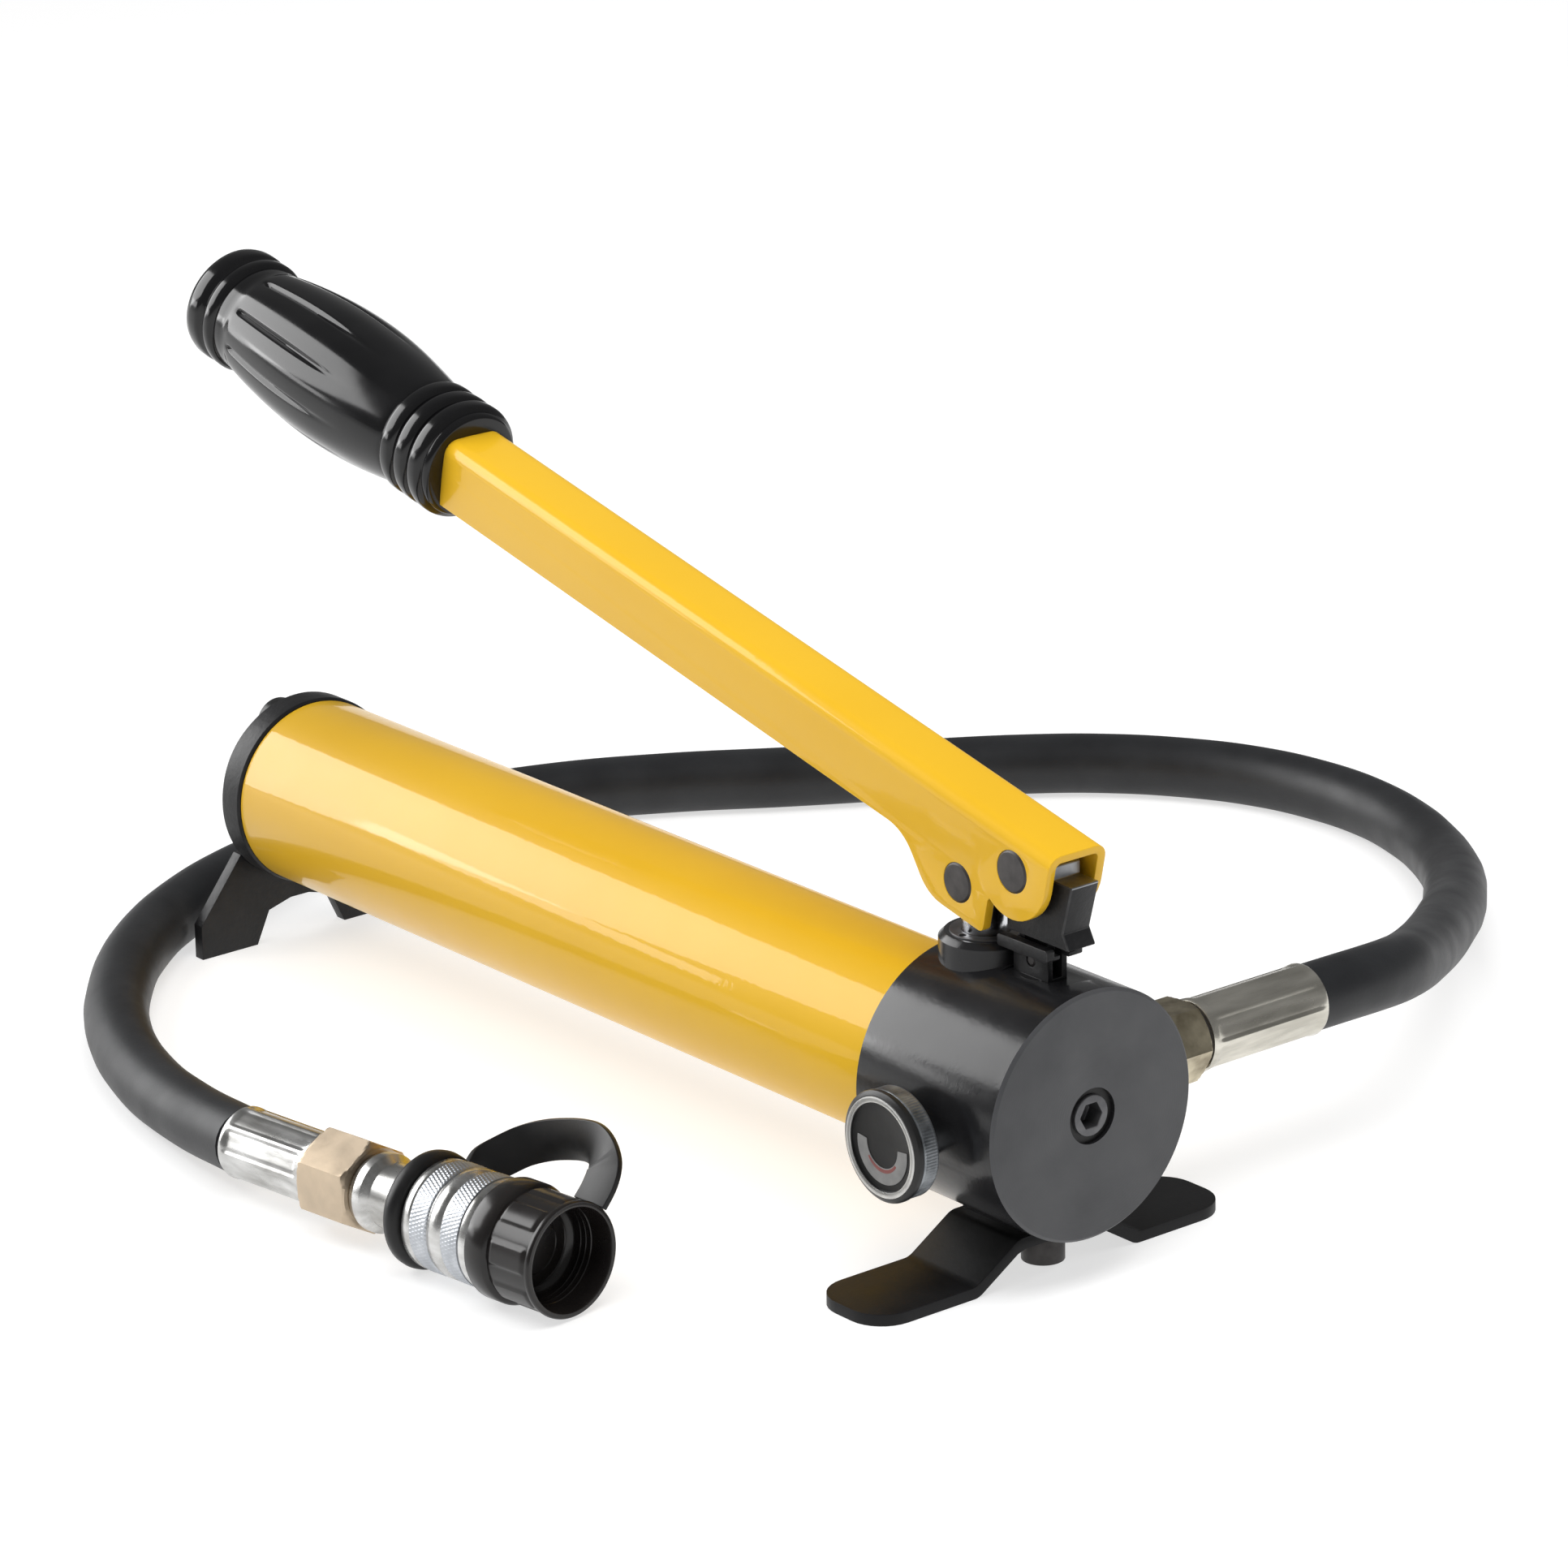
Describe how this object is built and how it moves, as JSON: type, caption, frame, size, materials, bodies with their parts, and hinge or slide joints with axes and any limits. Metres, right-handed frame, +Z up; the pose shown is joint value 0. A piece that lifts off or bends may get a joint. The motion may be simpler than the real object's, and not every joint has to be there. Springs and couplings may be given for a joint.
{
  "type": "hydraulic hand pump",
  "caption": "Lever-worked hydraulic pump on two feet: round head, tubular oil reservoir, gripped lever on a link, release knob, and a hose ending in a capped quick coupler.",
  "frame": {"origin": "on the bench under the middle of the pump body, lever included and hose not counted", "axes": "+Z up; +Y back along the reservoir from the pump head to the rear foot; +X to the side of the hose outlet, -X to the side of the release knob"},
  "size_m": [0.4061, 0.3716, 0.1901],
  "materials": {
    "black_paint": "satin black enamel on machined steel",
    "yellow_paint": "glossy yellow enamel",
    "black_sheet": "satin black sheet steel",
    "black_bolt": "black oxide steel",
    "plug_steel": "dark machined steel",
    "dark_pin": "dark steel pin",
    "bare_steel": "bare steel",
    "polished_steel": "ground and polished steel",
    "zinc": "bright zinc plate",
    "nickel": "warm nickel plate",
    "dark_brass": "tarnished yellow zinc plate",
    "brass": "brass",
    "knurled_grey": "knurled grey metal",
    "bright_trim": "bright trim ring",
    "black_plastic": "black moulded plastic",
    "cap_plastic": "black moulded cap",
    "grip_vinyl": "glossy black moulding",
    "seal_rubber": "black rubber",
    "hose_rubber": "matte charcoal rubber"
  },
  "bodies": {
    "root": {"pump_head": "black_paint", "reservoir_tube": "yellow_paint", "head_gasket": "seal_rubber", "rear_cap": "black_paint", "cap_gasket": "seal_rubber", "tie_rod": "bare_steel", "tie_washer": "zinc", "tie_nut": "zinc", "filler_plug": "black_plastic", "front_foot": "black_sheet", "foot_bolt": "black_bolt", "front_plug": "plug_steel", "front_plug_seal": "seal_rubber", "outlet_spring": "bare_steel", "inlet_seat": "brass", "suction_tube": "zinc", "oil_strainer": "brass", "relief_screw": "black_bolt", "relief_spring": "bare_steel", "gland_nut": "plug_steel", "gland_seal": "seal_rubber", "link_lug": "black_paint", "lug_pin": "plug_steel", "outlet_adapter": "dark_brass", "outlet_nut": "dark_brass", "pump_ferrule": "zinc", "hose": "hose_rubber", "coupler_ferrule": "zinc", "coupler_nut": "nickel", "coupler_body": "zinc", "poppet_spring": "bare_steel", "strap_ring": "seal_rubber", "cap_strap": "seal_rubber"},
    "lever": {"lever": "yellow_paint", "lever_pin_front": "dark_pin", "lever_pin_rear": "dark_pin", "grip": "grip_vinyl"},
    "plunger": {"plunger": "polished_steel"},
    "link": {"link": "black_paint"},
    "release": {"release_knob": "black_plastic", "knob_ring": "knurled_grey", "knob_badge": "bright_trim", "release_stem": "bare_steel"},
    "collar": {"coupler_collar": "zinc"},
    "poppet": {"coupler_poppet": "polished_steel"},
    "dust_cap": {"dust_cap": "cap_plastic"},
    "outlet_valve": {"outlet_ball": "polished_steel"},
    "inlet_valve": {"inlet_ball": "polished_steel"},
    "relief_valve": {"relief_ball": "polished_steel"}
  },
  "joints": [
    {"name": "lever_pivot", "type": "hinge", "parent": "plunger", "child": "lever", "pos_m": [0, -0.1373, 0.0943], "axis": [1, 0, 0], "range_deg": [-14, 20]},
    {"name": "plunger_slide", "type": "slide", "parent": "root", "child": "plunger", "axis": [0, 0, 1], "range_m": [-0.0049, 0.007]},
    {"name": "link_swing", "type": "hinge", "parent": "root", "child": "link", "pos_m": [0, -0.1568, 0.0786], "axis": [1, 0, 0], "range_deg": [-4.2, 5.9]},
    {"name": "release_turn", "type": "hinge", "parent": "root", "child": "release", "pos_m": [-0.039, -0.1493, 0.0395], "axis": [-1, 0, 0], "range_deg": [0, 180]},
    {"name": "collar_spin", "type": "hinge", "parent": "root", "child": "collar", "pos_m": [-0.10875, -0.07549, 0.01461], "axis": [-0.1045, 0.9944, -0.0175], "continuous": true},
    {"name": "dust_cap_pull", "type": "slide", "parent": "root", "child": "dust_cap", "axis": [0.1045, -0.9944, 0.0175], "range_m": [0, 0.025]},
    {"name": "poppet_push", "type": "slide", "parent": "root", "child": "poppet", "axis": [-0.1045, 0.9944, -0.0175], "range_m": [0, 0.004], "stiffness_N_per_m": 800, "springref_m": -0.002},
    {"name": "outlet_ball_lift", "type": "slide", "parent": "root", "child": "outlet_valve", "axis": [0, -1, 0], "range_m": [0, 0.0015], "stiffness_N_per_m": 300, "springref_m": -0.002},
    {"name": "inlet_ball_lift", "type": "slide", "parent": "root", "child": "inlet_valve", "axis": [0, -1, 0], "range_m": [0, 0.0015]},
    {"name": "relief_ball_lift", "type": "slide", "parent": "root", "child": "relief_valve", "axis": [0, 0, -1], "range_m": [0, 0.001], "stiffness_N_per_m": 300, "springref_m": -0.002}
  ],
  "couplings": [
    {"joint": "plunger_slide", "follows": "lever_pivot", "m_per_rad": 0.0199},
    {"joint": "link_swing", "follows": "lever_pivot", "ratio": 0.293}
  ]
}
